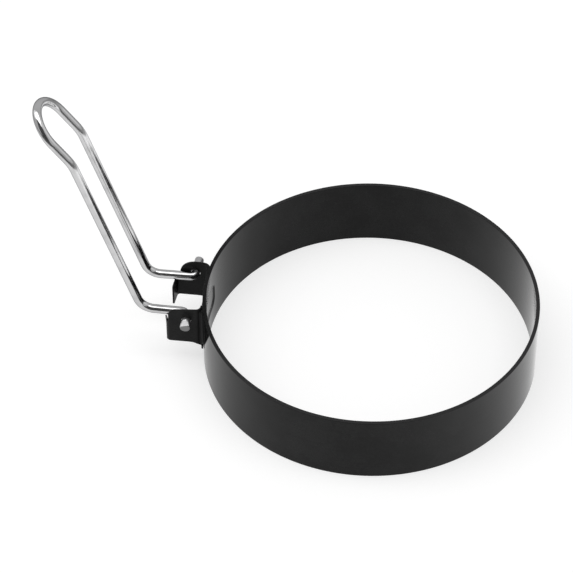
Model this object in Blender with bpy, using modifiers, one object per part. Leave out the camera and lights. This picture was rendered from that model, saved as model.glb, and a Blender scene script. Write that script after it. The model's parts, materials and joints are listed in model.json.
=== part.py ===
# Egg ring: a black coated steel band with a hinged wire handle that folds in over the ring.
# Metres, +Z up. The band stands on z = 0 and the handle leans out towards -X.
# The origin is on the ground, under the middle of the whole object.
import math

import bmesh
import bpy
from mathutils import Vector

# Ring band: a steel strip rolled into a short open cylinder
ring_radius = 0.0445
ring_height = 0.0200
band_thickness = 0.0010
rim_chamfer = 0.0002
ring_steps = 192

# Shallow press on the band's inner wall, where the bracket is spot welded on
press_width = 0.0148
press_bottom = 0.0052
press_height = 0.0086
press_depth = 0.0003
press_corner_radius = 0.0016

# Hinge bracket: one bent sheet, with a web on the band, two ears and an in-turned lip on each ear
sheet_thickness = 0.0005
seat_gap = 0.00025
ears_width = 0.0185
ear_reach = 0.0091
ear_bottom = 0.0069
ear_above_hinge = 0.0040
ear_corner_radius = 0.0050
ear_edge_setback = 0.0005
bend_radius = 0.0008
web_top = 0.0140
web_cut_inset = 0.0017
web_cut_corner_radius = 0.0018
foot_bottom = 0.0038
foot_inset = 0.0014
foot_corner_radius = 0.0014
lip_width = 0.0047
lip_lean = 0.0006
lip_relief = 0.0004

# Wire handle: one bent wire, a pin at each end, two arms, two legs and a rounded finger loop
wire_diameter = 0.0024
arm_inset = 0.00225
arm_length = 0.0123
leg_length = 0.0523
loop_length = 0.0157
loop_round_length = 0.0078
leg_angle = math.radians(71.9)
loop_angle = math.radians(53.7)
pin_bend_radius = 0.0018
arm_bend_radius = 0.0045
loop_bend_radius = 0.0135
pin_stand_out = 0.0040
handle_side_slip = 0.0007

# Hinge: the pins turn in holes through the ears, and the arms rest on the lips
hinge_reach = 0.0036
hinge_height = 0.01525
pin_clearance = 0.0003
rest_gap = 0.0003

cut_overrun = 0.0020
arc_steps = 10
bend_steps = 5
loop_steps = 20
wire_bevel_resolution = 6

# Sizes that follow from the ones above
wire_radius = wire_diameter / 2
ring_inner_radius = ring_radius - band_thickness
web_inner_radius = ring_radius + seat_gap
ear_outer_y = ears_width / 2
ear_inner_y = ear_outer_y - sheet_thickness
ear_top = hinge_height + ear_above_hinge
leg_y = ear_inner_y - arm_inset
bracket_reach = ring_radius + ear_reach
pin_hole_radius = wire_radius + pin_clearance
lip_top = hinge_height - wire_radius - rest_gap
hinge_from_axis = ring_radius + hinge_reach
handle_run = arm_length + leg_length * math.cos(leg_angle) + loop_length * math.cos(loop_angle)
object_reach = hinge_from_axis + handle_run + wire_radius
ring_centre_x = (object_reach - ring_radius) / 2


def clear_scene():
    """Remove whatever the open file holds."""
    for item in list(bpy.data.objects):
        bpy.data.objects.remove(item)


def new_collection(name):
    """Make a collection under the scene."""
    group = bpy.data.collections.new(name)
    bpy.context.scene.collection.children.link(group)
    return group


def new_material(name, colour, roughness, metallic):
    """Make a Principled material."""
    material = bpy.data.materials.new(name)
    material.use_nodes = True
    shader = material.node_tree.nodes["Principled BSDF"]
    shader.inputs["Base Color"].default_value = (*colour, 1.0)
    shader.inputs["Roughness"].default_value = roughness
    shader.inputs["Metallic"].default_value = metallic
    material.diffuse_color = (*colour, 1.0)
    return material


def new_empty(name, location, collection):
    """Make an empty that carries other objects."""
    empty = bpy.data.objects.new(name, None)
    empty.location = location
    collection.objects.link(empty)
    return empty


def new_object(name, data, collection, parent=None):
    """Link a mesh or a curve to a collection, under its parent."""
    item = bpy.data.objects.new(name, data)
    collection.objects.link(item)
    item.parent = parent
    return item


def shade(mesh, degrees):
    """Smooth shading with sharp edges above an angle."""
    mesh.shade_smooth()
    mesh.set_sharp_from_angle(angle=math.radians(degrees))


def arc_between(centre, start, end, steps):
    """Points on the short arc round a centre, from start to end."""
    first = start - centre
    last = end - centre
    turn = first.angle(last)
    points = []
    for step in range(steps + 1):
        share = step / steps
        weight_first = math.sin((1 - share) * turn) / math.sin(turn)
        weight_last = math.sin(share * turn) / math.sin(turn)
        points.append(centre + first * weight_first + last * weight_last)
    return points


def rounded_path(corners, radii, steps):
    """A path of straight runs whose inner corners are rounded, each to its own radius."""
    points = [corners[0]]
    for index, radius in enumerate(radii, start=1):
        corner = corners[index]
        back = (corners[index - 1] - corner).normalized()
        ahead = (corners[index + 1] - corner).normalized()
        half_angle = back.angle(ahead) / 2
        trim = radius / math.tan(half_angle)
        centre = corner + (back + ahead).normalized() * radius / math.sin(half_angle)
        points += arc_between(centre, corner + back * trim, corner + ahead * trim, steps)
    points.append(corners[-1])
    return points


def prism(name, outline, thickness, collection):
    """A flat outline in the XZ plane, given thickness along Y on both sides of the plane."""
    mesh = bpy.data.meshes.new(name)
    shape = bmesh.new()
    ring = [shape.verts.new((x, -thickness / 2, z)) for x, z in outline]
    face = shape.faces.new(ring)
    grown = bmesh.ops.extrude_face_region(shape, geom=[face])
    moved = [part for part in grown["geom"] if isinstance(part, bmesh.types.BMVert)]
    bmesh.ops.translate(shape, verts=moved, vec=(0, thickness, 0))
    bmesh.ops.recalc_face_normals(shape, faces=shape.faces)
    shape.to_mesh(mesh)
    shape.free()
    return new_object(name, mesh, collection)


def as_cutter(item, parent):
    """Keep a cutter out of the model and place it with the piece that it cuts."""
    item.parent = parent
    item.display_type = "WIRE"
    item.hide_render = True
    return item


def cut(item, cutter, operation):
    """Add an exact Boolean modifier."""
    boolean = item.modifiers.new(cutter.name, "BOOLEAN")
    boolean.operation = operation
    boolean.solver = "EXACT"
    boolean.object = cutter
    return boolean


# Ring band

def band_profile(inner, outer, bottom, top, chamfer):
    """Section of a band at +X, down its outer side and up its inner side."""
    return [
        (outer - chamfer, top),
        (outer, top - chamfer),
        (outer, bottom + chamfer),
        (outer - chamfer, bottom),
        (inner + chamfer, bottom),
        (inner, bottom + chamfer),
        (inner, top - chamfer),
        (inner + chamfer, top),
    ]


def turned(name, profile, steps, collection):
    """A closed profile turned a full circle about Z."""
    mesh = bpy.data.meshes.new(name)
    points = [(x, 0, z) for x, z in profile]
    count = len(points)
    edges = [(index, (index + 1) % count) for index in range(count)]
    mesh.from_pydata(points, edges, [])
    item = new_object(name, mesh, collection)
    screw = item.modifiers.new("turn", "SCREW")
    screw.axis = "Z"
    screw.angle = math.radians(360)
    screw.steps = steps
    screw.render_steps = steps
    screw.use_merge_vertices = True
    screw.merge_threshold = 0.00001
    return item


def press_cutter(parent, collection):
    """The weld press: a thin turned shell, kept inside a rounded rectangle beside the bracket."""
    floor_radius = ring_inner_radius + press_depth
    profile = band_profile(
        ring_inner_radius - cut_overrun, floor_radius,
        press_bottom - cut_overrun, press_bottom + press_height + cut_overrun, rim_chamfer,
    )
    shell = turned("press_shell", profile, ring_steps, collection)
    bottom = press_bottom
    top = press_bottom + press_height
    half_width = press_width / 2
    corners = [
        Vector((0, bottom)), Vector((half_width, bottom)), Vector((half_width, top)),
        Vector((-half_width, top)), Vector((-half_width, bottom)), Vector((0, bottom)),
    ]
    outline = rounded_path(corners, [press_corner_radius] * 4, arc_steps)[:-1]
    window = prism("press_window", outline, band_thickness * 2 + cut_overrun * 2, collection)
    window.rotation_euler = (0, 0, math.radians(90))
    window.location = (-ring_inner_radius, 0, 0)
    as_cutter(shell, parent)
    as_cutter(window, parent)
    cut(shell, window, "INTERSECT")
    return shell


def build_ring_band(parts, cutters, ring_axis, material):
    """The band, with its rims broken and the weld press on its inner wall."""
    profile = band_profile(ring_inner_radius, ring_radius, 0, ring_height, rim_chamfer)
    band = turned("ring_band", profile, ring_steps, parts)
    band.parent = ring_axis
    cut(band, press_cutter(ring_axis, cutters), "DIFFERENCE")
    band.data.materials.append(material)
    shade_after(band, 35)
    return band


def shade_after(item, degrees):
    """Smooth shading for a piece whose mesh comes from its modifiers."""
    mesh = evaluated_mesh(item)
    item.modifiers.clear()
    item.data = mesh
    shade(mesh, degrees)


def evaluated_mesh(item):
    """The mesh of an object with its modifiers applied."""
    graph = bpy.context.evaluated_depsgraph_get()
    return bpy.data.meshes.new_from_object(item.evaluated_get(graph))


# Hinge bracket

def sheet_half_path():
    """Plan of the bracket's mid sheet on its +Y side: the lip with its bend, then the ear and web."""
    half_sheet = sheet_thickness / 2
    ear_y = ear_outer_y - half_sheet
    lip_x = -(bracket_reach - half_sheet)
    web_radius = web_inner_radius + half_sheet
    web_turn = math.asin(ear_y / web_radius)
    bend = bend_radius + half_sheet
    web_end_turn = web_turn - 2 * bend / web_radius
    corners = [
        Vector((lip_x - lip_lean, ear_outer_y - lip_width)),
        Vector((lip_x, ear_y)),
        Vector((-web_radius * math.cos(web_turn), ear_y)),
        Vector((-web_radius * math.cos(web_end_turn), web_radius * math.sin(web_end_turn))),
    ]
    path = rounded_path(corners, [bend, bend], bend_steps)
    for step in range(1, arc_steps + 1):
        turn = web_end_turn * (1 - step / arc_steps)
        path.append(Vector((-web_radius * math.cos(turn), web_radius * math.sin(turn))))
    ear_start = 1 + bend_steps
    return path, ear_start


def side_outline():
    """The bracket seen from the side: web foot, ear bottom, lip, and the ear's round corner."""
    web_back = -(web_inner_radius + sheet_thickness + bend_radius)
    ear_end = -(bracket_reach - ear_edge_setback)
    beyond = -(bracket_reach + cut_overrun)
    inside = -(ring_radius - ear_outer_y)
    notch_middle = lip_top + lip_relief / 2
    lower = [
        Vector((inside, foot_bottom)),
        Vector((web_back, foot_bottom)),
        Vector((web_back, ear_bottom)),
        Vector((beyond, ear_bottom)),
        Vector((beyond, notch_middle)),
    ]
    upper = [
        Vector((ear_end, notch_middle)),
        Vector((ear_end, ear_top)),
        Vector((inside, ear_top)),
    ]
    return lower + rounded_path(upper, [ear_corner_radius], arc_steps)


def front_outline():
    """The bracket seen from outside: tapered foot, full width ears and a cut in the web between them."""
    half_foot = ear_outer_y - foot_inset
    half_width = ear_outer_y + cut_overrun
    half_cut = ear_outer_y - web_cut_inset
    top = ear_top + cut_overrun
    foot = [
        Vector((ear_inner_y, ear_bottom)),
        Vector((half_foot, foot_bottom)),
        Vector((-half_foot, foot_bottom)),
        Vector((-ear_inner_y, ear_bottom)),
    ]
    web_cut = [
        Vector((-half_cut, top)),
        Vector((-half_cut, web_top)),
        Vector((half_cut, web_top)),
        Vector((half_cut, top)),
    ]
    outline = rounded_path(foot, [foot_corner_radius] * 2, arc_steps)
    outline += [Vector((-half_width, ear_bottom)), Vector((-half_width, top))]
    outline += rounded_path(web_cut, [web_cut_corner_radius] * 2, arc_steps)
    outline += [Vector((half_width, top)), Vector((half_width, ear_bottom))]
    return outline


def bracket_sheet():
    """Half of the mid sheet as a grid: columns along the plan, rows up the height."""
    path, ear_start = sheet_half_path()
    rows = [foot_bottom - cut_overrun, lip_top, lip_top + lip_relief, ear_top + cut_overrun]
    shape = bmesh.new()
    columns = []
    for index, (x, y) in enumerate(path):
        reached = rows if index >= ear_start else rows[:2]
        columns.append([shape.verts.new((x, y, z)) for z in reached])
    for first, second in zip(columns, columns[1:]):
        for row in range(min(len(first), len(second)) - 1):
            shape.faces.new((first[row], second[row], second[row + 1], first[row + 1]))
    ear_column = columns[ear_start]
    edge_x = -(bracket_reach + cut_overrun)
    ear_edge = [shape.verts.new((edge_x, ear_column[row].co.y, rows[row])) for row in (2, 3)]
    shape.faces.new((ear_edge[0], ear_column[2], ear_column[3], ear_edge[1]))
    bmesh.ops.recalc_face_normals(shape, faces=shape.faces)
    mesh = bpy.data.meshes.new("hinge_bracket")
    shape.to_mesh(mesh)
    shape.free()
    return mesh


def build_hinge_bracket(parts, cutters, ring_axis, material):
    """One sheet bent in plan, trimmed to its side outline and drilled for the pins."""
    bracket = new_object("hinge_bracket", bracket_sheet(), parts, ring_axis)

    mirror = bracket.modifiers.new("other_half", "MIRROR")
    mirror.use_axis = (False, True, False)
    mirror.use_clip = True
    mirror.merge_threshold = 0.00001
    solidify = bracket.modifiers.new("sheet", "SOLIDIFY")
    solidify.thickness = sheet_thickness
    solidify.offset = 0
    solidify.use_even_offset = True

    side_trim = prism("bracket_side", side_outline(), ears_width + cut_overrun * 2, cutters)
    cut(bracket, as_cutter(side_trim, ring_axis), "INTERSECT")
    front_trim = prism("bracket_front", front_outline(), ear_outer_y * 2 + ear_reach * 2, cutters)
    front_trim.rotation_euler = (0, 0, math.radians(90))
    front_trim.location = (-ring_radius, 0, 0)
    cut(bracket, as_cutter(front_trim, ring_axis), "INTERSECT")

    bpy.ops.mesh.primitive_cylinder_add(
        vertices=32, radius=pin_hole_radius, depth=ears_width + cut_overrun * 2,
        rotation=(math.radians(90), 0, 0), location=(-hinge_from_axis, 0, hinge_height),
    )
    drill = bpy.context.object
    drill.name = "pin_drill"
    for group in list(drill.users_collection):
        group.objects.unlink(drill)
    cutters.objects.link(drill)
    cut(bracket, as_cutter(drill, ring_axis), "DIFFERENCE")

    bracket.data.materials.append(material)
    shade_after(bracket, 35)
    return bracket


# Wire handle

def handle_path():
    """The wire's middle line from one pin's end to the other, measured from the hinge axis."""
    pin_end_y = ear_outer_y + pin_stand_out
    leg_step = Vector((-math.cos(leg_angle), 0, math.sin(leg_angle))) * leg_length
    loop_way = Vector((-math.cos(loop_angle), 0, math.sin(loop_angle)))
    arm_end = Vector((-arm_length, leg_y, 0))
    leg_end = arm_end + leg_step
    round_start = leg_end + loop_way * (loop_length - loop_round_length)
    corners = [
        Vector((0, pin_end_y, 0)),
        Vector((0, leg_y, 0)),
        arm_end,
        leg_end,
        round_start,
    ]
    radii = [pin_bend_radius, arm_bend_radius, loop_bend_radius]
    side = rounded_path(corners, radii, arc_steps)
    joined = len(side)
    middle = round_start - Vector((0, leg_y, 0))
    for step in range(1, loop_steps):
        turn = math.pi * step / loop_steps
        along = loop_way * loop_round_length * math.sin(turn)
        side.append(middle + along + Vector((0, leg_y * math.cos(turn), 0)))
    other = [Vector((point.x, -point.y, point.z)) for point in reversed(side[:joined])]
    return side + other


def build_wire_handle(parts, handle_pivot, material):
    """The bent wire, as a round tube along its middle line."""
    curve = bpy.data.curves.new("wire_handle", "CURVE")
    curve.dimensions = "3D"
    curve.bevel_depth = wire_radius
    curve.bevel_resolution = wire_bevel_resolution
    curve.use_fill_caps = True
    points = handle_path()
    spline = curve.splines.new("POLY")
    spline.points.add(len(points) - 1)
    for slot, point in zip(spline.points, points):
        slot.co = (*point, 1.0)
    curve.materials.append(material)
    handle = new_object("wire_handle", curve, parts, handle_pivot)
    return handle


def main():
    """Build the object at rest, the handle's arms on the bracket's lips."""
    clear_scene()
    parts = new_collection("egg_ring")
    cutters = new_collection("egg_ring_cutters")
    coating = new_material("black_coating", (0.022, 0.022, 0.023), 0.34, 0.0)
    bracket_coating = new_material("black_bracket_coating", (0.016, 0.016, 0.017), 0.42, 0.0)
    chrome = new_material("bright_chrome", (0.80, 0.81, 0.82), 0.12, 1.0)
    ring_axis = new_empty("ring_axis", (ring_centre_x, 0, 0), parts)
    pivot_place = (ring_centre_x - hinge_from_axis, handle_side_slip, hinge_height)
    handle_pivot = new_empty("handle_pivot", pivot_place, parts)
    bpy.context.view_layer.update()
    build_ring_band(parts, cutters, ring_axis, coating)
    build_hinge_bracket(parts, cutters, ring_axis, bracket_coating)
    build_wire_handle(parts, handle_pivot, chrome)


main()
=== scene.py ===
# Egg ring: satin black band, bent sheet bracket and a bright wire handle that folds over the ring.
import json
import math

import bmesh
import bpy
from mathutils import Matrix, Vector


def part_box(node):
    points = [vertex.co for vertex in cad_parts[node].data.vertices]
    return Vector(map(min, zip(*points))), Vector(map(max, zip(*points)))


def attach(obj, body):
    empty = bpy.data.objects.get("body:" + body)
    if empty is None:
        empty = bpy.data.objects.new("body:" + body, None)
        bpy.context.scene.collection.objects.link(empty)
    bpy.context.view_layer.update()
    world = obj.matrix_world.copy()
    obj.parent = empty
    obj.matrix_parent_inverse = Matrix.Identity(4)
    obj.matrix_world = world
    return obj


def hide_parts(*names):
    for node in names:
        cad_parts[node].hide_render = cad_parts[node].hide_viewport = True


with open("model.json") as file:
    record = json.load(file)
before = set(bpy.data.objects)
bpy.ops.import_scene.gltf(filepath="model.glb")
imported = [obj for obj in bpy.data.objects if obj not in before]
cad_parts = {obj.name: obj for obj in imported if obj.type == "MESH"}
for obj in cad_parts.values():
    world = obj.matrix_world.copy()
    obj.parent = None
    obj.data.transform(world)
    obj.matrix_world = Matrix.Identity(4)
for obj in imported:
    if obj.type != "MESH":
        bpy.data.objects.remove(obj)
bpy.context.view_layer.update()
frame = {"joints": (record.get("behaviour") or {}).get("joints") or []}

bandLow, bandHigh = [Vector(corner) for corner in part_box("ring_band")]
ringX = (bandLow.x + bandHigh.x) / 2  # the band's axis stands at this x
hinge = frame["joints"][0]["pos_m"]


# Helpers for node trees

def addNode(tree, kind, inputs=None, **settings):
    node = tree.nodes.new(kind)
    for key, value in settings.items():
        setattr(node, key, value)
    for key, value in (inputs or {}).items():
        if isinstance(value, bpy.types.NodeSocket):
            tree.links.new(value, node.inputs[key])
        else:
            node.inputs[key].default_value = value
    return node


def combine(tree, operation, first, second):
    return addNode(tree, "ShaderNodeMath", {0: first, 1: second}, operation=operation).outputs[0]


def mixValues(tree, amount, first, second):
    return addNode(tree, "ShaderNodeMix", {0: amount, 2: first, 3: second}, data_type="FLOAT").outputs[0]


def mixColours(tree, amount, first, second):
    # on this kind of node sockets 6 and 7 take the two colours, and output 2 gives their mix
    return addNode(tree, "ShaderNodeMix", {0: amount, 6: first, 7: second}, data_type="RGBA").outputs[2]


def noiseAt(tree, place, scale, detail):
    return addNode(tree, "ShaderNodeTexNoise", {
        "Vector": place, "Scale": scale, "Detail": detail,
    }).outputs["Fac"]


def spreadOut(tree, value, fromSpan, toSpan=(0.0, 1.0), kind="LINEAR"):
    # stretches one span of values over another, and holds still beyond its ends
    return addNode(tree, "ShaderNodeMapRange", {
        "Value": value, "From Min": fromSpan[0], "From Max": fromSpan[1],
        "To Min": toSpan[0], "To Max": toSpan[1],
    }, interpolation_type=kind).outputs["Result"]


def bumpFrom(tree, height, depth, strength, under=None):
    inputs = {"Height": height, "Distance": depth, "Strength": strength}
    if under is not None:
        inputs["Normal"] = under
    return addNode(tree, "ShaderNodeBump", inputs).outputs["Normal"]


def newTree(name, inputs):
    tree = bpy.data.node_groups.new(name, "GeometryNodeTree")
    tree.interface.new_socket("Geometry", in_out="INPUT", socket_type="NodeSocketGeometry")
    for label, kind in inputs:
        tree.interface.new_socket(label, in_out="INPUT", socket_type=kind)
    tree.interface.new_socket("Geometry", in_out="OUTPUT", socket_type="NodeSocketGeometry")
    return tree, tree.nodes.new("NodeGroupInput"), tree.nodes.new("NodeGroupOutput")


def finishTree(tree, result, mesh, finish):
    whole = addNode(tree, "GeometryNodeRealizeInstances", {"Geometry": mesh})
    coated = addNode(tree, "GeometryNodeSetMaterial", {
        "Geometry": whole.outputs["Geometry"], "Material": finish,
    })
    tree.links.new(coated.outputs["Geometry"], result.inputs["Geometry"])


# Helpers for objects and meshes

def newObject(name, data):
    item = bpy.data.objects.new(name, data)
    bpy.context.scene.collection.objects.link(item)
    return item


def runTree(tree, data, values, name):
    # runs a geometry node tree on a passing object and keeps its result as a plain mesh
    source = newObject(name + "_source", data)
    modifier = source.modifiers.new("nodes", "NODES")
    modifier.node_group = tree
    for item in tree.interface.items_tree:
        if item.in_out == "INPUT" and item.name in values:
            modifier[item.identifier] = values[item.name]
    graph = bpy.context.evaluated_depsgraph_get()
    mesh = bpy.data.meshes.new_from_object(source.evaluated_get(graph))
    bpy.data.objects.remove(source)
    mesh.name = name
    return mesh


def closeOutwards(mesh, mergeGap=1e-7):
    shape = bmesh.new()
    shape.from_mesh(mesh)
    bmesh.ops.remove_doubles(shape, verts=shape.verts, dist=mergeGap)
    bmesh.ops.recalc_face_normals(shape, faces=shape.faces)
    shape.to_mesh(mesh)
    shape.free()


def newPiece(name, mesh, body, node, sharpAngle):
    piece = newObject(name, mesh)
    mesh.shade_smooth()
    mesh.set_sharp_from_angle(angle=math.radians(sharpAngle))
    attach(piece, body)
    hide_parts(node)
    return piece


def joinRings(shape, rings):
    for lower, upper in zip(rings, rings[1:]):
        for index in range(len(lower)):
            ahead = (index + 1) % len(lower)
            shape.faces.new((lower[index], lower[ahead], upper[ahead], upper[index]))


def quarterSteps(count):
    # angles from zero to a right angle, for eased edges and ends
    return [math.pi / 2 * step / count for step in range(count + 1)]


def smoothStep(value):
    value = min(max(value, 0.0), 1.0)
    return value * value * (3 - 2 * value)


def arcBetween(first, last, steps):
    # the arc that turns one radius into another of the same length, about their common centre
    span = first.angle(last)
    points = []
    for step in range(steps + 1):
        share = step / steps
        mixed = first * math.sin((1 - share) * span) + last * math.sin(share * span)
        points.append(mixed / math.sin(span))
    return points


def roundedCorners(corners, radii, steps):
    points = []
    count = len(corners)
    for index, (corner, radius) in enumerate(zip(corners, radii)):
        if radius == 0:
            points.append(corner.copy())
            continue
        back = (corners[index - 1] - corner).normalized()
        ahead = (corners[(index + 1) % count] - corner).normalized()
        half = back.angle(ahead) / 2
        trim = radius / math.tan(half)
        centre = corner + (back + ahead).normalized() * (radius / math.sin(half))
        first = corner + back * trim - centre
        last = corner + ahead * trim - centre
        points += [centre + arm for arm in arcBetween(first, last, steps)]
    return points


# Materials

coatingLook = {
    "colour": (0.0003, 0.0003, 0.0003, 1.0), "paler": (0.0102, 0.0102, 0.0104, 1.0),
    "roughness": 0.09, "specular": 0.155, "toneScale": 130.0, "grainScale": 1300.0, "grainShare": 0.40,
    "lineScale": 2600.0, "lineDepth": 0.000022,
    "speckScale": 1500.0, "speckDepth": 0.000006,
    "cloudScale": 55.0, "cloudShare": 0.02,
    # rim colour, heights and places: a painted highlight along the top rim, which fades out beside the
    # bracket
    "rimHighlight": (0.026, 0.026, 0.0265, 1.0), "rimHighlightHeights": (0.01992, 0.01998), "rimHighlightPlaces": (-0.043, -0.034),
}
bracketLook = {
    "colour": (0.0105, 0.0105, 0.0108, 1.0), "paler": (0.0200, 0.0200, 0.0205, 1.0),
    "roughness": 0.34, "specular": 0.11, "toneScale": 260.0, "grainScale": 1700.0, "grainShare": 0.45,
    "lineScale": 1500.0, "lineDepth": 0.000020,
    "speckScale": 1900.0, "speckDepth": 0.000008,
    "cloudScale": 90.0, "cloudShare": 0.06,
}
chromeLook = {
    "colour": (0.66, 0.66, 0.665, 1.0), "roughness": 0.14, "edgeTint": (0.45, 0.45, 0.46, 1.0),
    "smudge": (0.52, 0.52, 0.525, 1.0),
    "smudgeScale": 210.0, "smudgeDetail": 5.0, "smudgeSpan": (0.48, 0.72),
    "drawScale": 5200.0, "drawDetail": 2.0, "drawStretch": 0.012,
    "drawDepth": 0.000010, "drawStrength": 0.6,
    "cutFace": (0.25, 0.25, 0.25, 1.0), "cutDepth": 0.00012,
    "pinRoughness": 0.44, "pinLength": 0.0042, "pinFade": 0.0030,
    "cloudScale": 160.0, "cloudShare": 0.05,
}
# what the finishes share: how fine each noise is, and the part of it that is spread out
surfaceNoise = {
    "cloudDetail": 4.0, "cloudSpan": (0.3, 0.7),
    "toneDetail": 3.0, "grainDetail": 2.0, "toneSpan": (0.38, 0.62),
    "lineDetail": 3.0, "lineStretch": (0.02, 0.02, 1.0), "speckDetail": 2.0, "bumpStrength": 0.5,
}


def newMaterial(name, look):
    material = bpy.data.materials.new(name)
    material.use_nodes = True
    tree = material.node_tree
    shader = tree.nodes["Principled BSDF"]
    shader.inputs["Base Color"].default_value = look["colour"]
    shader.inputs["Roughness"].default_value = look["roughness"]
    return material, tree, shader


def cloudyRoughness(tree, look, place):
    cloud = noiseAt(tree, place, look["cloudScale"], surfaceNoise["cloudDetail"])
    middle, share = look["roughness"], look["cloudShare"]
    return spreadOut(tree, cloud, surfaceNoise["cloudSpan"], (middle - share, middle + share))


def paintRimHighlight(tree, look, coords, tone):
    # the top rim is painted paler as a highlight, except beside the bracket
    place = addNode(tree, "ShaderNodeSeparateXYZ", {"Vector": coords})
    left, right = look["rimHighlightPlaces"]
    highlightFromLeft = spreadOut(tree, place.outputs["X"], (left + ringX, right + ringX))
    highlightOnTop = spreadOut(tree, place.outputs["Z"], look["rimHighlightHeights"], (0.0, highlightFromLeft))
    return mixColours(tree, highlightOnTop, tone, look["rimHighlight"])


def coatingMaterial(name, look):
    material, tree, shader = newMaterial(name, look)
    shader.inputs["Specular IOR Level"].default_value = look["specular"]
    coords = addNode(tree, "ShaderNodeTexCoord").outputs["Object"]
    tree.links.new(cloudyRoughness(tree, look, coords), shader.inputs["Roughness"])

    # the black is blotchy: soft clouds with a fine grain over them
    blotches = noiseAt(tree, coords, look["toneScale"], surfaceNoise["toneDetail"])
    grain = noiseAt(tree, coords, look["grainScale"], surfaceNoise["grainDetail"])
    both = mixValues(tree, look["grainShare"], blotches, grain)
    amount = spreadOut(tree, both, surfaceNoise["toneSpan"])
    tone = mixColours(tree, amount, look["colour"], look["paler"])
    # painted highlight along the top rim
    if "rimHighlight" in look:
        tone = paintRimHighlight(tree, look, coords, tone)
    tree.links.new(tone, shader.inputs["Base Color"])

    # faint lines round the sheet, and specks over them
    stretched = addNode(tree, "ShaderNodeMapping", {"Vector": coords, "Scale": surfaceNoise["lineStretch"]})
    lines = noiseAt(tree, stretched.outputs["Vector"], look["lineScale"], surfaceNoise["lineDetail"])
    specks = noiseAt(tree, coords, look["speckScale"], surfaceNoise["speckDetail"])
    strength = surfaceNoise["bumpStrength"]
    lineBump = bumpFrom(tree, lines, look["lineDepth"], strength)
    speckBump = bumpFrom(tree, specks, look["speckDepth"], strength, lineBump)
    tree.links.new(speckBump, shader.inputs["Normal"])
    return material


def chromeMaterial(name, look):
    material, tree, shader = newMaterial(name, look)
    shader.inputs["Metallic"].default_value = 1.0
    shader.inputs["Specular Tint"].default_value = look["edgeTint"]
    coords = addNode(tree, "ShaderNodeTexCoord").outputs["Object"]
    bright = cloudyRoughness(tree, look, coords)

    # smudges left by handling
    smudges = noiseAt(tree, coords, look["smudgeScale"], look["smudgeDetail"])
    amount = spreadOut(tree, smudges, look["smudgeSpan"])
    tone = mixColours(tree, amount, look["colour"], look["smudge"])

    # the fine lines that the wire was drawn with, which run along it
    along = addNode(tree, "ShaderNodeAttribute", attribute_name="alongWire").outputs["Fac"]
    around = addNode(tree, "ShaderNodeAttribute", attribute_name="aroundWire").outputs["Vector"]
    onWire = addNode(tree, "ShaderNodeSeparateXYZ", {"Vector": around})
    place = addNode(tree, "ShaderNodeCombineXYZ", {
        "X": onWire.outputs["X"], "Y": onWire.outputs["Y"],
        "Z": combine(tree, "MULTIPLY", along, look["drawStretch"]),
    })
    lines = noiseAt(tree, place.outputs["Vector"], look["drawScale"], look["drawDetail"])
    bump = bumpFrom(tree, lines, look["drawDepth"], look["drawStrength"])
    tree.links.new(bump, shader.inputs["Normal"])

    # the pins are duller than the rest, and their cut faces greyer
    fromEnd = addNode(tree, "ShaderNodeAttribute", attribute_name="fromEnd").outputs["Fac"]
    pinSpan = (look["pinLength"], look["pinLength"] + look["pinFade"])
    dull = spreadOut(tree, fromEnd, pinSpan, (1.0, 0.0), "SMOOTHSTEP")
    roughness = mixValues(tree, dull, bright, look["pinRoughness"])
    tree.links.new(roughness, shader.inputs["Roughness"])
    cut = spreadOut(tree, fromEnd, (0.0, look["cutDepth"]), (1.0, 0.0))
    tree.links.new(mixColours(tree, cut, tone, look["cutFace"]), shader.inputs["Base Color"])
    return material


bandCoating = coatingMaterial("satin_black_band", coatingLook)
bracketCoating = coatingMaterial("satin_black_bracket", bracketLook)
brightWire = chromeMaterial("bright_wire", chromeLook)
print("materials made")


# Band: a strip rolled into a ring, swept by geometry nodes, then pressed where the bracket is welded on

band = {
    "radius": 0.0440, "thickness": 0.0010, "height": 0.0200, "edge": 0.00011, "edgeSteps": 5,
    "around": 640, "upTheWall": 64, "crowding": 0.72, "sharpAngle": 40,
    "pressHalfWidth": 0.0074, "pressLow": 0.0062, "pressHigh": 0.0138, "pressCorner": 0.0024,
    "pressDepth": 0.00030, "pressSlope": 0.00045,
}


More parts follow.
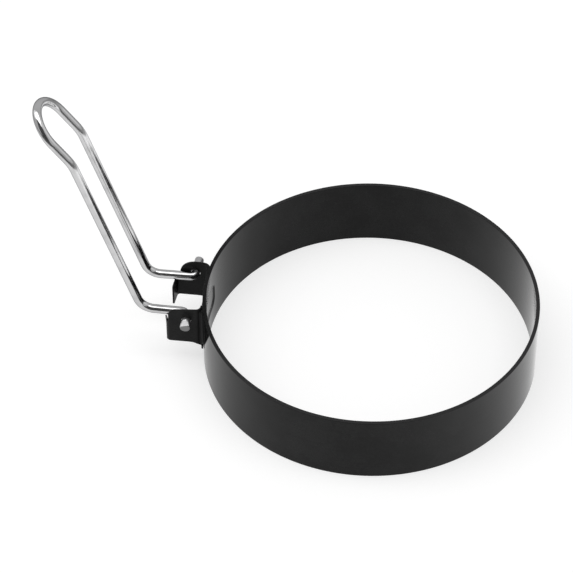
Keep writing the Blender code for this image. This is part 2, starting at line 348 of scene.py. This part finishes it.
def bandTree():
    tree, given, result = newTree("bandSweep", [
        ("Radius", "NodeSocketFloat"), ("Thickness", "NodeSocketFloat"), ("Height", "NodeSocketFloat"),
        ("Edge", "NodeSocketFloat"), ("Around", "NodeSocketInt"), ("Rows", "NodeSocketInt"),
        ("Coating", "NodeSocketMaterial"),
    ])
    circle = addNode(tree, "GeometryNodeCurvePrimitiveCircle", {
        "Resolution": given.outputs["Around"], "Radius": given.outputs["Radius"],
    })
    section = addNode(tree, "GeometryNodeCurvePrimitiveQuadrilateral", {
        "Width": given.outputs["Thickness"], "Height": given.outputs["Height"],
    })
    filleted = addNode(tree, "GeometryNodeFilletCurve", {
        "Curve": section.outputs["Curve"], "Radius": given.outputs["Edge"], "Count": band["edgeSteps"],
    }, mode="POLY")

    # only the two long sides of the section are cut into rows
    here = addNode(tree, "GeometryNodeInputPosition").outputs["Position"]
    index = addNode(tree, "GeometryNodeInputIndex").outputs["Index"]
    there = addNode(tree, "GeometryNodeFieldAtIndex", {
        "Value": here, "Index": combine(tree, "ADD", index, 1.0),
    }, data_type="FLOAT_VECTOR", domain="POINT")
    gap = addNode(tree, "ShaderNodeVectorMath", {0: here, 1: there.outputs[0]}, operation="DISTANCE")
    isWall = addNode(tree, "FunctionNodeCompare", {
        "A": gap.outputs["Value"], "B": given.outputs["Thickness"],
    }, data_type="FLOAT", operation="GREATER_THAN")
    divided = addNode(tree, "GeometryNodeSubdivideCurve", {
        "Curve": filleted.outputs["Curve"],
        "Cuts": combine(tree, "MULTIPLY", isWall.outputs["Result"], given.outputs["Rows"]),
    })
    swept = addNode(tree, "GeometryNodeCurveToMesh", {
        "Curve": circle.outputs["Curve"], "Profile Curve": divided.outputs["Curve"],
    })
    finishTree(tree, result, swept.outputs["Mesh"], given.outputs["Coating"])
    return tree


def pressDepthAt(along, height):
    # how far the wall is pressed outwards, from the distance to the edge of a rounded rectangle
    halfHeight = (band["pressHigh"] - band["pressLow"]) / 2
    middle = (band["pressHigh"] + band["pressLow"]) / 2
    outX = abs(along) - (band["pressHalfWidth"] - band["pressCorner"])
    outZ = abs(height - middle) - (halfHeight - band["pressCorner"])
    corner = math.hypot(max(outX, 0), max(outZ, 0)) + min(max(outX, outZ), 0)
    inside = band["pressCorner"] - corner
    return band["pressDepth"] * smoothStep(inside / band["pressSlope"] + 0.5)


def buildBand():
    mesh = runTree(bandTree(), bpy.data.meshes.new("band_seed"), {
        "Radius": band["radius"], "Thickness": band["thickness"], "Height": band["height"],
        "Edge": band["edge"], "Around": band["around"], "Rows": band["upTheWall"],
        "Coating": bandCoating,
    }, "band_shell")
    for vertex in mesh.vertices:
        x, y, z = vertex.co
        radius = math.hypot(x, y)
        turn = math.atan2(y, -x)  # zero at the bracket, so columns crowd there
        turn -= band["crowding"] * math.sin(turn)
        height = z + band["height"] / 2
        if radius < band["radius"]:
            radius += pressDepthAt(radius * turn, height)
        vertex.co = (ringX - radius * math.cos(turn), radius * math.sin(turn), height)
    closeOutwards(mesh)
    return newPiece("band_shell", mesh, "ring", "ring_band", band["sharpAngle"])


bandShell = buildBand()
print("band made", len(bandShell.data.polygons))


# Bracket: a flat blank with rounded edges, folded along its plan into web, ears and lips

bracket = {
    "sheet": 0.0005, "edge": 0.00013, "edgeSteps": 3, "hold": 0.00010, "seat": 0.00003, "sharpAngle": 50,
    "earY": 0.0090, "rootBend": 0.00140, "lipBend": 0.00095, "lipLean": math.radians(6),
    "lipOutside": 0.0536, "lipTip": 0.0047, "twistAtFoot": 0.35,
    "earBottom": 0.00700, "rise": 0.00025, "crownRound": 0.0090,
    "webTop": 0.01405, "webCutCorner": 0.0018, "webCutInset": 0.0002, "webCutRound": 0.0003,
    "footBottom": 0.0037, "footHalf": 0.0079, "footCorner": 0.0004, "footFillet": 0.0036,
    "lipFootCorner": 0.0004, "lipCorner": 0.0009,
    "notchWidth": 0.00045, "notchDepth": 0.0006, "notchCorner": 0.00012, "notchRound": 0.45,
    "cornerSteps": 8, "holeSteps": 48, "webColumns": 18, "bendColumns": 12, "cutTolerance": 1e-8,
    "bead": 0.0009, "beadLow": 0.0060, "beadHigh": 0.0186, "beadEase": 0.0010, "beadTip": 0.04,
    "beadSteps": 8,
}
# the two ears were cut by hand: outline heights at the lip, above the hole and at the web
farEar = {
    "lipTop": 0.01365, "lipRise": 0.0, "notchFromBend": -0.00014, "corner": 0.0040, "crownAt": 0.0051,
    "heights": (0.01875, 0.0196, 0.0187), "lipTwist": 0.0, "hole": 0.00129,
}
nearEar = {
    "lipTop": 0.01195, "lipRise": 0.0027, "notchFromBend": 0.00045, "corner": 0.0022, "crownAt": 0.0045,
    "heights": (0.01850, 0.0189, 0.0194), "lipTwist": 0.10, "hole": 0.00127,
}


def planMarks():
    # where web, root bend, ear, lip bend and lip end along the unrolled sheet, from its middle
    webRadius = band["radius"] + band["thickness"] / 2 + bracket["seat"] + bracket["sheet"] / 2
    rootBend, lipBend, lean = bracket["rootBend"], bracket["lipBend"], bracket["lipLean"]
    reach = webRadius + rootBend
    webTurn = math.asin((bracket["earY"] - rootBend) / reach)
    rootX = reach * math.cos(webTurn)
    lipX = bracket["lipOutside"] - bracket["sheet"] / 2 - lipBend
    webEnd = webRadius * webTurn
    earStart = webEnd + rootBend * (math.pi / 2 + webTurn)
    earEnd = earStart + lipX - rootX
    lipStart = earEnd + lipBend * (math.pi / 2 - lean)
    lipRoot = bracket["earY"] - lipBend + lipBend * math.sin(lean)
    lipEnd = lipStart + (lipRoot - bracket["lipTip"]) / math.cos(lean)
    return {
        "webRadius": webRadius, "webTurn": webTurn, "rootX": rootX, "lipX": lipX, "webEnd": webEnd,
        "earStart": earStart, "earEnd": earEnd, "lipStart": lipStart, "lipEnd": lipEnd,
    }


plan = planMarks()


def onArc(centreX, centreY, radius, angle):
    normalX, normalY = math.cos(angle), math.sin(angle)
    return centreX + radius * normalX, centreY + radius * normalY, normalX, normalY


def planPoint(along):
    # outward distance, sideways place and the sheet's normal, all on the +Y side
    rootBend, lipBend, lean = bracket["rootBend"], bracket["lipBend"], bracket["lipLean"]
    if along <= plan["webEnd"]:
        outward, sideways, wayX, wayY = onArc(0.0, 0.0, plan["webRadius"], along / plan["webRadius"])
        return outward, sideways, -wayX, -wayY
    if along <= plan["earStart"]:
        angle = math.pi + plan["webTurn"] - (along - plan["webEnd"]) / rootBend
        return onArc(plan["rootX"], bracket["earY"] - rootBend, rootBend, angle)
    if along <= plan["earEnd"]:
        return plan["rootX"] + along - plan["earStart"], bracket["earY"], 0.0, 1.0
    if along <= plan["lipStart"]:
        angle = math.pi / 2 - (along - plan["earEnd"]) / lipBend
        return onArc(plan["lipX"], bracket["earY"] - lipBend, lipBend, angle)
    past = along - plan["lipStart"]
    outward, sideways, normalX, normalY = onArc(plan["lipX"], bracket["earY"] - lipBend, lipBend, lean)
    return outward + past * normalY, sideways - past * normalX, normalX, normalY


def riseAt(along):
    # the bracket sits a little crooked: the near ear is higher than the far one
    return -bracket["rise"] * min(max(along / plan["earStart"], -1.0), 1.0)


def foldedPoint(along, depth, height):
    outward, sideways, normalX, normalY = planPoint(abs(along))
    side = 1.0 if along >= 0 else -1.0
    ear = farEar if along >= 0 else nearEar
    outward += normalX * depth
    sideways += normalY * depth
    onLip = max(abs(along) - plan["lipStart"], 0.0)
    upTheLip = (height - bracket["earBottom"]) / (ear["lipTop"] - bracket["earBottom"])
    outward += ear["lipTwist"] * onLip * (bracket["twistAtFoot"] + upTheLip)
    return ringX - outward, side * sideways, height + riseAt(along)


def blankHalf(ear):
    # one half of the flat blank, from the foot's side round the lip and the ear to the web's top
    lipTop, lipRoot = ear["lipTop"], ear["lipTop"] + ear["lipRise"]
    atLip, crown, atWeb = ear["heights"]
    notchStart = plan["earEnd"] + ear["notchFromBend"]
    notchEnd = notchStart + bracket["notchWidth"]
    notchLow = lipRoot - bracket["notchDepth"]
    notchRound = bracket["notchWidth"] * bracket["notchRound"]
    webCut = plan["webEnd"] - bracket["webCutInset"]
    rows = [
        (bracket["footHalf"], bracket["footBottom"], bracket["footCorner"]),
        (bracket["footHalf"], bracket["earBottom"], bracket["footFillet"]),
        (plan["lipEnd"], bracket["earBottom"], bracket["lipFootCorner"]),
        (plan["lipEnd"], lipTop, bracket["lipCorner"]),
        (notchEnd, lipRoot, bracket["notchCorner"]),
        (notchEnd, notchLow, notchRound),
        (notchStart, notchLow, notchRound),
        (notchStart, atLip, ear["corner"]),
        (notchStart - ear["crownAt"], crown, bracket["crownRound"]),
        (webCut, atWeb, bracket["webCutRound"]),
        (webCut, bracket["webTop"], bracket["webCutCorner"]),
    ]
    return [Vector((along, height)) for along, height, radius in rows], [row[2] for row in rows]


def blankLoops():
    far, farRadii = blankHalf(farEar)
    near, nearRadii = blankHalf(nearEar)
    corners = far + [Vector((-point.x, point.y)) for point in reversed(near)]
    loops = [roundedCorners(corners, farRadii + nearRadii[::-1], bracket["cornerSteps"])]
    for side, ear in ((1, farEar), (-1, nearEar)):
        along = side * (plan["earStart"] + (ringX - hinge[0]) - plan["rootX"])
        centre = Vector((along, hinge[2] - riseAt(along)))
        loop = []
        for step in range(bracket["holeSteps"]):
            angle = -2 * math.pi * step / bracket["holeSteps"]
            loop.append(centre + Vector((math.cos(angle), math.sin(angle))) * ear["hole"])
        loops.append(loop)
    return loops


def insetLoop(loop, distance, leastSlant=0.5):
    # moves every side of a loop inwards by one distance, which eases the blank's edges
    points = []
    count = len(loop)
    for index, point in enumerate(loop):
        before = (point - loop[index - 1]).normalized()
        after = (loop[(index + 1) % count] - point).normalized()
        left = Vector((-before.y, before.x)) + Vector((-after.y, after.x))
        left.normalize()
        slant = max(left.dot(Vector((-before.y, before.x))), leastSlant)
        points.append(point + left * (distance / slant))
    return points


def blankSlab():
    # the flat blank, its bores and its rounded edges in one closed skin
    half, edge = bracket["sheet"] / 2, bracket["edge"]
    section = [(edge + bracket["hold"], half)]
    for angle in quarterSteps(bracket["edgeSteps"]):
        section.append((edge * (1 - math.sin(angle)), half - edge * (1 - math.cos(angle))))
    section += [(inset, -depth) for inset, depth in reversed(section)]
    shape = bmesh.new()
    rims = {0: [], len(section) - 1: []}
    for loop in blankLoops():
        rings = []
        for inset, depth in section:
            rings.append([shape.verts.new((point.x, depth, point.y)) for point in insetLoop(loop, inset)])
        joinRings(shape, rings)
        for key in rims:
            ring = rings[key]
            rims[key] += [shape.edges.get((ring[i], ring[(i + 1) % len(ring)])) for i in range(len(ring))]
    for edges in rims.values():
        bmesh.ops.triangle_fill(shape, edges=edges, use_beauty=True)
    return shape


def foldColumns():
    # places where the blank gets columns of points, so that it can bend
    marks = []
    for step in range(1, bracket["webColumns"]):
        marks.append(plan["webEnd"] * step / bracket["webColumns"])
    for start, end in (("webEnd", "earStart"), ("earEnd", "lipStart")):
        for step in range(bracket["bendColumns"] + 1):
            marks.append(plan[start] + (plan[end] - plan[start]) * step / bracket["bendColumns"])
    return [0.0] + [side * mark for mark in marks for side in (1, -1)]


def beadSection(radius):
    # plan of the coating that has run into the cleft between an ear's bend and the band's wall
    wall = band["radius"] + band["thickness"] / 2 + bracket["seat"] / 2
    bend = bracket["rootBend"] + bracket["sheet"] / 2
    centre = Vector((plan["rootX"], bracket["earY"] - bracket["rootBend"]))
    start = math.atan2(centre.y, centre.x)
    outer = wall + radius
    turn = math.acos((centre.length**2 + outer**2 - (bend + radius)**2) / (2 * centre.length * outer))
    middle = Vector((math.cos(start + turn), math.sin(start + turn))) * outer
    toBend, toWall = (centre - middle).normalized(), -middle.normalized()
    arc = arcBetween(toBend * radius, toWall * radius, bracket["beadSteps"])
    return [middle + arm for arm in arc] + [Vector((math.cos(start), math.sin(start))) * wall]


def addBead(shape, side):
    # the bead runs up the cleft and tapers off at both ends
    rows = []
    for angle in quarterSteps(bracket["beadSteps"]):
        rows.append((bracket["beadEase"] * (1 - math.cos(angle)), max(math.sin(angle), bracket["beadTip"])))
    heights = [(bracket["beadLow"] + inset, share) for inset, share in rows]
    heights += [(bracket["beadHigh"] - inset, share) for inset, share in reversed(rows)]
    rings = []
    for height, share in heights:
        z = height + riseAt(side * plan["earStart"])
        section = beadSection(bracket["bead"] * share)
        rings.append([shape.verts.new((ringX - point.x, side * point.y, z)) for point in section])
    joinRings(shape, rings)
    shape.faces.new(rings[0][::-1])
    shape.faces.new(rings[-1])


def buildBracket():
    shape = blankSlab()
    for mark in foldColumns():
        everything = shape.verts[:] + shape.edges[:] + shape.faces[:]
        bmesh.ops.bisect_plane(
            shape, geom=everything, dist=bracket["cutTolerance"], plane_co=(mark, 0, 0), plane_no=(1, 0, 0))
    for vertex in shape.verts:
        vertex.co = foldedPoint(*vertex.co)
    for side in (1, -1):
        addBead(shape, side)
    bmesh.ops.recalc_face_normals(shape, faces=shape.faces)
    mesh = bpy.data.meshes.new("bent_bracket")
    shape.to_mesh(mesh)
    shape.free()
    mesh.materials.append(bracketCoating)
    return newPiece(
        "bent_bracket", mesh, "ring", "hinge_bracket", bracket["sharpAngle"])


bentBracket = buildBracket()
print("bracket made", len(bentBracket.data.polygons))


# Handle: one wire swept along its bends by geometry nodes, with eased pin ends

handle = {
    "wire": 0.0024, "sides": 40, "armY": 0.0065, "slip": 0.0008, "flare": 0.0002, "sharpAngle": 40,
    "farPin": 0.01320, "nearPin": 0.01275, "farSplay": (0.075, 0.02), "nearSplay": (0.045, 0.0),
    "farSwell": 1.0, "nearSwell": 1.16, "swellLength": 0.0030,
    "cutFrom": 0.0008, "cutSlope": 0.27, "cutTilt": 0.24,
    "arm": 0.0123, "leg": 0.0523, "loop": 0.01565, "loopRound": 0.00775,
    "legAngle": math.radians(71.94), "loopAngle": math.radians(53.72),
    "farPinBend": 0.0014, "nearPinBend": 0.0019, "armBend": 0.0045, "loopBend": 0.0135,
    "endRound": 0.00030, "endSteps": 6, "pinSteps": 24, "bendSteps": 24, "loopSteps": 72,
}


def wireBends():
    # the wire's middle line about the hinge, from the far pin's end over the loop to the near one's
    arm, armY = handle["arm"], handle["armY"]
    legEnd = Vector((-arm - handle["leg"] * math.cos(handle["legAngle"]), armY,
                     handle["leg"] * math.sin(handle["legAngle"])))
    loopWay = Vector((-math.cos(handle["loopAngle"]), 0, math.sin(handle["loopAngle"])))
    roundStart = legEnd + loopWay * (handle["loop"] - handle["loopRound"])
    sides = []
    cornerY = armY + handle["flare"]
    for name, slip in (("far", handle["slip"]), ("near", -handle["slip"])):
        pinEnd, (splayX, splayZ) = handle[name + "Pin"], handle[name + "Splay"]
        reach = bracket["earY"] - cornerY - slip  # each pin crosses its ear on the hinge axis
        pinCorner = Vector((-splayX * reach, cornerY, -splayZ * reach))
        pinWay = Vector((splayX, 1, splayZ)).normalized()
        pinLength = pinEnd - pinCorner.y
        corners = [pinCorner + pinWay * pinLength, pinCorner, Vector((-arm, armY, 0)), legEnd, roundStart]
        radii = [0, handle[name + "PinBend"], handle["armBend"], handle["loopBend"], 0]
        side = roundedCorners(corners, radii, handle["bendSteps"])
        end = []
        for angle in quarterSteps(handle["endSteps"]):
            end.append(corners[0] - pinWay * (handle["endRound"] * (1 - math.cos(angle))))
        eased = end[-1]
        for step in range(1, handle["pinSteps"] + 1):
            end.append(eased - pinWay * (handle["swellLength"] * step / handle["pinSteps"]))
        sides.append(end + side[1:])
    middle = roundStart - Vector((0, armY, 0))
    loop = []
    for step in range(1, handle["loopSteps"]):
        turn = math.pi * step / handle["loopSteps"]
        across = Vector((0, armY * math.cos(turn), 0))
        loop.append(middle + loopWay * handle["loopRound"] * math.sin(turn) + across)
    other = [Vector((point.x, -point.y, point.z)) for point in reversed(sides[1])]
    return sides[0] + loop + other


def wireThickness(count):
    # the pins swell a little towards their cut ends, whose edges are eased
    sizes = [1.0] * count
    for swell, first, way in ((handle["farSwell"], 0, 1), (handle["nearSwell"], count - 1, -1)):
        radius = handle["wire"] / 2 * swell
        for step, angle in enumerate(quarterSteps(handle["endSteps"])):
            sizes[first + way * step] = swell * (1 - handle["endRound"] * (1 - math.sin(angle)) / radius)
        for step in range(1, handle["pinSteps"] + 1):
            index = first + way * (handle["endSteps"] + step)
            sizes[index] = 1 + (swell - 1) * (1 - smoothStep(step / handle["pinSteps"]))
    return sizes


def storeOn(tree, geometry, name, value, kind="FLOAT"):
    return addNode(tree, "GeometryNodeStoreNamedAttribute", {
        "Geometry": geometry, "Name": name, "Value": value,
    }, data_type=kind, domain="POINT").outputs["Geometry"]


def wireTree():
    tree, given, result = newTree("wireSweep", [
        ("Wire radius", "NodeSocketFloat"), ("Sides", "NodeSocketInt"), ("Finish", "NodeSocketMaterial"),
    ])
    length = addNode(tree, "GeometryNodeSplineParameter").outputs["Length"]
    total = addNode(tree, "GeometryNodeSplineLength").outputs["Length"]
    nearest = combine(tree, "MINIMUM", length, combine(tree, "SUBTRACT", total, length))
    along = storeOn(tree, given.outputs["Geometry"], "alongWire", length)
    measured = storeOn(tree, along, "fromEnd", nearest)
    circle = addNode(tree, "GeometryNodeCurvePrimitiveCircle", {
        "Resolution": given.outputs["Sides"], "Radius": given.outputs["Wire radius"],
    })
    where = addNode(tree, "GeometryNodeInputPosition").outputs["Position"]
    rounded = storeOn(tree, circle.outputs["Curve"], "aroundWire", where, "FLOAT_VECTOR")
    size = addNode(tree, "GeometryNodeInputRadius").outputs["Radius"]
    swept = addNode(tree, "GeometryNodeCurveToMesh", {
        "Curve": measured, "Profile Curve": rounded, "Scale": size, "Fill Caps": True,
    })
    finishTree(tree, result, swept.outputs["Mesh"], given.outputs["Finish"])
    return tree


def buildHandle():
    pivot = Vector((hinge[0], handle["slip"], hinge[2]))
    points = [pivot + point for point in wireBends()]
    path = bpy.data.curves.new("wire_path", "CURVE")
    path.dimensions = "3D"
    spline = path.splines.new("POLY")
    spline.points.add(len(points) - 1)
    for slot, point, size in zip(spline.points, points, wireThickness(len(points))):
        slot.co = (*point, 1.0)
        slot.radius = size
    mesh = runTree(wireTree(), path, {
        "Wire radius": handle["wire"] / 2, "Sides": handle["sides"], "Finish": brightWire,
    }, "bent_wire")
    # the near pin was cut aslant, its top sloping down from the ear to the end face and a little sideways
    cutStart = bracket["earY"] + bracket["sheet"] / 2 + handle["cutFrom"]
    for vertex in mesh.vertices:
        past = -vertex.co.y - cutStart
        if past > 0:
            drop = handle["cutSlope"] * past - handle["cutTilt"] * (vertex.co.x - pivot.x)
            vertex.co.z = min(vertex.co.z, pivot.z + handle["wire"] / 2 - drop)
    closeOutwards(mesh)
    return newPiece("bent_wire", mesh, "handle", "wire_handle", handle["sharpAngle"])


bentWire = buildHandle()
print("handle made", len(bentWire.data.polygons))


# Studio: pale floor, plain soft light and the photograph's camera

studio = {
    "white": (1.0, 1.0, 1.0, 1.0), "floorHalf": 4.0, "floorGlow": 0.60,
    "floorLook": {"colour": (0.55, 0.55, 0.55, 1.0), "roughness": 0.9},
    "mirroredGlow": (0.48, 0.58, 0.90), "mirroredSpan": (-0.035, 0.075),  # left, middle and right
    "tableEdge": (0.10, 0.28),  # where the light table starts and ends to fade
    "worldLight": 0.42, "worldSeen": 1.0, "worldMirrored": 0.55,
    "lamps": [
        # place, aim, width, height, watts
        ((-0.25, -0.08, 0.93), (-0.25, -0.08, 0), 1.6, 0.52, 4.9),
        ((-0.80, 0.10, 0.55), (0, 0, 0.02), 0.4, 0.6, 0.4),
        ((0.85, 0.15, 0.55), (0, 0, 0.02), 0.8, 0.8, 0.5),
    ],
    "cardWidth": 1.4, "cardLook": {"colour": (0.16, 0.16, 0.16, 1.0), "roughness": 0.5},
    "cardProfile": ((-0.145, 0.001), (-1.30, 0.001), (-1.30, 0.12), (-0.42, 1.00)),
}
camera = {
    "elevation": 46.4442, "pan": 1.6353, "tilt": 1.1978, "roll": -1.6355, "turn": 4.6,
    "distance": 0.799201, "focal": 2974.66, "frame": 573, "film": 36.0, "farClip": 20.0,
}


def buildFloor():
    bpy.ops.mesh.primitive_plane_add(size=studio["floorHalf"] * 2)
    floor = bpy.context.object
    floor.name = "studio_floor"
    material, tree, shader = newMaterial("pale_floor", studio["floorLook"])
    shader.inputs["Specular IOR Level"].default_value = 0.0
    shader.inputs["Emission Color"].default_value = studio["white"]
    path = addNode(tree, "ShaderNodeLightPath").outputs
    coords = addNode(tree, "ShaderNodeTexCoord").outputs["Object"]

    # shiny pieces mirror it as a light table, brighter to the right, which fades out beyond its edge
    across = addNode(tree, "ShaderNodeSeparateXYZ", {"Vector": coords}).outputs["X"]
    left, middle, right = studio["mirroredGlow"]
    start, end = studio["mirroredSpan"]
    halfWay = (start + end) / 2
    rise = spreadOut(tree, across, (start, halfWay), (left, middle))
    more = spreadOut(tree, across, (halfWay, end), (0.0, right - middle))
    away = addNode(tree, "ShaderNodeVectorMath", {0: coords}, operation="LENGTH").outputs["Value"]
    onTable = spreadOut(tree, away, studio["tableEdge"], (1.0, 0.0), "SMOOTHSTEP")
    fading = combine(tree, "MULTIPLY", combine(tree, "ADD", rise, more), onTable)
    byMirror = combine(tree, "MAXIMUM", path["Is Glossy Ray"], path["Is Transmission Ray"])
    mirrored = combine(tree, "MULTIPLY", byMirror, fading)

    direct = combine(tree, "MULTIPLY", path["Is Camera Ray"], studio["floorGlow"])
    glow = combine(tree, "MAXIMUM", direct, mirrored)
    tree.links.new(glow, shader.inputs["Emission Strength"])
    floor.data.materials.append(material)


def buildWorld():
    world = bpy.data.worlds.new("studio_world")
    bpy.context.scene.world = world
    world.use_nodes = True
    tree = world.node_tree
    background = tree.nodes["Background"]
    background.inputs["Color"].default_value = studio["white"]
    path = addNode(tree, "ShaderNodeLightPath").outputs
    levels = (studio["worldLight"], studio["worldMirrored"])
    unseen = spreadOut(tree, path["Is Glossy Ray"], (0.0, 1.0), levels)
    direct = combine(tree, "MAXIMUM", path["Is Camera Ray"], path["Is Transmission Ray"])
    strength = spreadOut(tree, direct, (0.0, 1.0), (unseen, studio["worldSeen"]))
    tree.links.new(strength, background.inputs["Strength"])


def buildCard():
    # a dark card in front of the light table and up behind the camera, which only the shiny pieces mirror
    half, profile = studio["cardWidth"] / 2, studio["cardProfile"]
    mesh = bpy.data.meshes.new("dark_card")
    corners = [(side * half, y, z) for y, z in profile for side in (-1, 1)]
    panels = [(2 * i, 2 * i + 1, 2 * i + 3, 2 * i + 2) for i in range(len(profile) - 1)]
    mesh.from_pydata(corners, [], panels)
    card = newObject("dark_card", mesh)
    card.visible_camera = False
    card.visible_diffuse = False
    card.visible_shadow = False
    mesh.materials.append(newMaterial("card_paper", studio["cardLook"])[0])


def buildLamps():
    for index, (place, aim, width, height, watts) in enumerate(studio["lamps"]):
        light = bpy.data.lights.new("soft_lamp_%d" % index, "AREA")
        light.shape = "RECTANGLE"
        light.size = width
        light.size_y = height
        light.energy = watts
        lamp = newObject(light.name, light)
        lamp.location = place
        lamp.rotation_euler = (Vector(aim) - Vector(place)).to_track_quat("-Z", "Y").to_euler()


def buildCamera():
    # the camera first looks at the ring's axis from the front, then it is panned, tilted and rolled
    elevation = math.radians(camera["elevation"])
    place = Vector((0, -math.cos(elevation), math.sin(elevation))) * camera["distance"]
    ahead = -place.normalized()
    right = Vector((1, 0, 0))
    upward = right.cross(ahead)
    pan = Matrix.Rotation(math.radians(camera["pan"]), 3, upward)
    ahead, right = pan @ ahead, pan @ right
    tilt = Matrix.Rotation(math.radians(camera["tilt"]), 3, right)
    ahead, upward = tilt @ ahead, tilt @ upward
    roll = Matrix.Rotation(math.radians(camera["roll"]), 3, ahead)
    right, upward = roll @ right, roll @ upward

    data = bpy.data.cameras.new("photo_camera")
    data.sensor_width = camera["film"]
    data.lens = camera["focal"] / camera["frame"] * camera["film"]
    data.clip_end = camera["farClip"]
    item = newObject("photo_camera", data)
    toPart = Matrix.Rotation(math.radians(camera["turn"]), 3, "Z")
    columns = [toPart @ right, toPart @ upward, -(toPart @ ahead)]
    spin = Matrix(columns).transposed().to_4x4()
    item.matrix_world = Matrix.Translation(toPart @ place + Vector((ringX, 0, 0))) @ spin
    bpy.context.scene.camera = item


buildFloor()
buildWorld()
buildCard()
buildLamps()
buildCamera()
bpy.context.scene.view_settings.view_transform = "Standard"
print("studio made")
